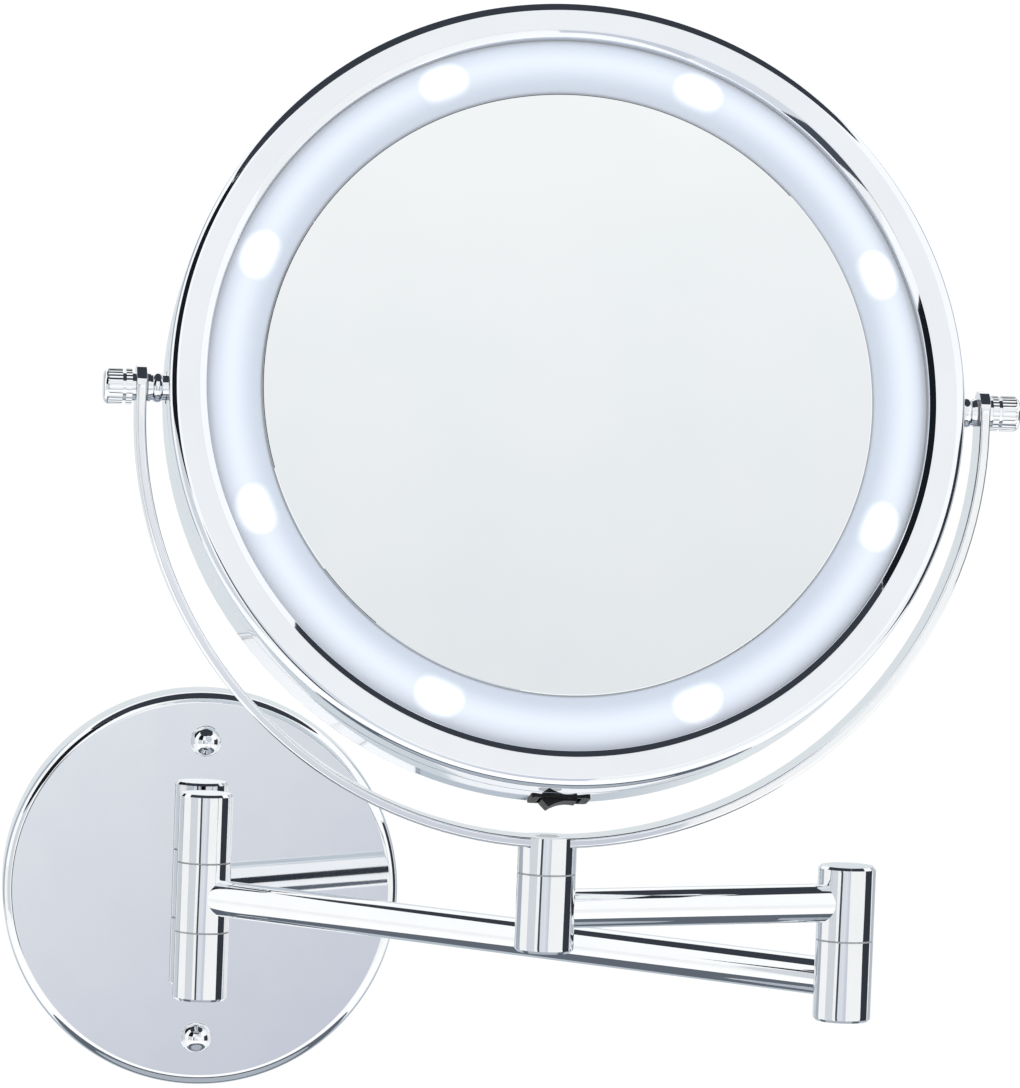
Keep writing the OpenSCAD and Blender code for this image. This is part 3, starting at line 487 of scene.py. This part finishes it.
def makeTone(name, tone, farTone=None, toward=(0, 0, 1), span=(0, 1)):
    material = bpy.data.materials.new(name)
    material.use_nodes = True
    tree = material.node_tree
    tree.nodes.clear()
    glow = addNode(tree, "Emission", {"Color": linear(tone), "Strength": 1.0})
    if farTone:
        coords = addNode(tree, "TexCoord")
        along = addNode(tree, "VectorMath", {"operation": "DOT_PRODUCT"}, in0=coords.outputs["Object"])
        along.inputs[1].default_value = toward
        spread = addNode(tree, "MapRange", {"From Min": span[0], "From Max": span[1]},
                         Value=along.outputs["Value"])
        blend = addNode(tree, "ValToRGB", None, Fac=spread.outputs["Result"])
        blend.color_ramp.elements[0].color = linear(tone)
        blend.color_ramp.elements[1].color = linear(farTone)
        tree.links.new(blend.outputs["Color"], glow.inputs["Color"])
    addNode(tree, "OutputMaterial", None, Surface=glow.outputs["Emission"])
    return material


cardSteps = {"up": 8, "round": 24}


def addCard(name, azimuth, height, distance, material):
    low, high = (math.radians(angle) for angle in height)
    start, end = (math.radians(angle) for angle in azimuth)
    shape = bmesh.new()
    corner = shape.verts.new((0, -distance, 0))
    bmesh.ops.rotate(shape, verts=[corner], cent=(0, 0, 0), matrix=Matrix.Rotation(-low, 3, "X"))
    bmesh.ops.spin(shape, geom=[corner], cent=(0, 0, 0), axis=(-1, 0, 0), angle=high - low,
                   steps=cardSteps["up"])
    bmesh.ops.rotate(shape, verts=shape.verts, cent=(0, 0, 0), matrix=Matrix.Rotation(start, 3, "Z"))
    bmesh.ops.spin(shape, geom=shape.verts[:] + shape.edges[:], cent=(0, 0, 0), axis=(0, 0, 1),
                   angle=end - start, steps=cardSteps["round"])
    bmesh.ops.translate(shape, vec=studio["centre"], verts=shape.verts)
    return stageMesh(shape, name, material, True)


def stageMesh(shape, name, material, hidden):
    mesh = bpy.data.meshes.new(name)
    shape.to_mesh(mesh)
    shape.free()
    mesh.materials.append(material)
    thing = bpy.data.objects.new(name, mesh)
    scene.collection.objects.link(thing)
    if hidden:  # a card is seen only in the polished metal
        thing.visible_camera = thing.visible_diffuse = False
        thing.visible_shadow = thing.visible_transmission = False
    return thing


floorShape = bmesh.new()
bmesh.ops.create_grid(floorShape, x_segments=1, y_segments=1, size=studio["floorSize"] / 2)
bmesh.ops.translate(floorShape, vec=(0, 0, studio["floor"]), verts=floorShape.verts)
floorPaint, floorTree, floorShader = newMaterial("paleStudioPaint", studio["floorTone"])
addSurface(floorTree, floorShader, studio["floorGrainMm"], studio["floorHaze"], studio["floorBumpMm"])
stageMesh(floorShape, "studio_floor", floorPaint, False)

cards = {  # azimuth is right of the line out of the wall, height above the horizon, in degrees
    "canopy": {"azimuth": (-180, 180), "height": (49, 90), "distance": 1.9, "tone": "3A3E46"},
    "left_flag": {"azimuth": (-76, -34), "height": (13, 49), "distance": 1.9, "tone": "1A1D22"},
    "thin_flag": {"azimuth": (-28, -20), "height": (-18, 13), "distance": 1.7, "tone": "4A5059"},
    "mid_grey": {"azimuth": (-20, -6), "height": (-18, 13), "distance": 1.72, "tone": "E4E8EE"},
    "right_flag": {"azimuth": (72, 110), "height": (-18, 13), "distance": 1.7, "tone": "363A42"},
    "right_edge": {"azimuth": (116, 148), "height": (-18, 30), "distance": 1.75, "tone": "BCC3CC"},
    "left_edge": {"azimuth": (-148, -112), "height": (-18, 30), "distance": 1.75, "tone": "AEB6C0"},
    "front_grey": {"azimuth": (-6, 12), "height": (-18, 0), "distance": 1.55, "tone": "D3D7E1",
                   "far": "F3F5F9", "toward": (-0.6, 0, 0.8), "span": (-0.30, -0.03)},
    "arm_grey": {"azimuth": (-74, -40), "height": (-16, 13), "distance": 1.8, "tone": "DDE1E5"},
    "front_soft": {"azimuth": (-12, 32), "height": (9, 48), "distance": 1.85, "tone": "FFFFFF"},
    "back_blue": {"azimuth": (150, 212), "height": (-16, 22), "distance": 0.85, "tone": "E2E8EB"},
    "back_low": {"azimuth": (122, 238), "height": (-60, -14), "distance": 0.84, "tone": "BEC7D0",
                 "far": "E2E8EB", "span": (-0.32, -0.17)},
    # painted shade: a dark band seen only in the polished metal, standing in for the reflection of the shadow on
    # the floor below
    "floor_shadow_band": {"azimuth": (-180, 180), "height": (-62, -48), "distance": 0.78, "tone": "666D77"},
    "under_grey": {"azimuth": (-180, 180), "height": (-90, -62), "distance": 0.8, "tone": "B4BBC4"},
    "mirror_glow": {"azimuth": (3, 17), "height": (20, 34), "distance": 1.8, "tone": "E6E9EC",
                    "far": "FFFFFF", "span": (0.7, 1.05)},
}
for name, card in cards.items():
    paper = makeTone(name + "Tone", card["tone"], card.get("far"), card.get("toward", (0, 0, 1)),
                     card.get("span", (0, 1)))
    addCard(name, card["azimuth"], card["height"], card["distance"], paper)

world = bpy.data.worlds.new("whiteStudio")
scene.world = world
world.use_nodes = True
sky = world.node_tree.nodes["Background"]
sky.inputs["Color"].default_value = linear(studio["sky"])
sky.inputs["Strength"].default_value = studio["skyPower"]

lamps = {
    "key_softbox": {"at": (-1.1, -1.6, 1.5), "size": 1.2, "power": 14},
    "fill_softbox": {"at": (1.4, -1.2, 0.9), "size": 1.0, "power": 6},
}
for name, looks in lamps.items():
    light = bpy.data.lights.new(name, "AREA")
    light.size = looks["size"]
    light.energy = looks["power"]
    lamp = bpy.data.objects.new(name, light)
    lamp.location = looks["at"]
    aim = Vector(studio["centre"]) - lamp.location
    lamp.rotation_euler = aim.to_track_quat("-Z", "Y").to_euler()
    lamp.visible_glossy = False
    scene.collection.objects.link(lamp)
print("stage: studio lit")

view = {"at": (-0.0847, -1.9781, 0.2376), "yaw": 4.88, "pitch": 4.03, "roll": 2.13, "lens": 234.6,
        "sensor": 36, "far": 100}
yaw, pitch, roll = (math.radians(view[key]) for key in ("yaw", "pitch", "roll"))
ahead = Vector((math.sin(yaw), math.cos(yaw), 0))
level = Vector((math.cos(yaw), -math.sin(yaw), 0))
forward = ahead * math.cos(pitch) - up * math.sin(pitch)
upright = ahead * math.sin(pitch) + up * math.cos(pitch)
side = level * math.cos(roll) + upright * math.sin(roll)
top = upright * math.cos(roll) - level * math.sin(roll)
lens = bpy.data.cameras.new("studioCamera")
lens.lens = view["lens"]
lens.sensor_width = view["sensor"]
lens.clip_end = view["far"]
camera = bpy.data.objects.new("studioCamera", lens)
camera.matrix_world = Matrix.Translation(view["at"]) @ Matrix((side, top, -forward)).transposed().to_4x4()
scene.collection.objects.link(camera)
scene.camera = camera
print("stage: camera set")

print("stage: done")
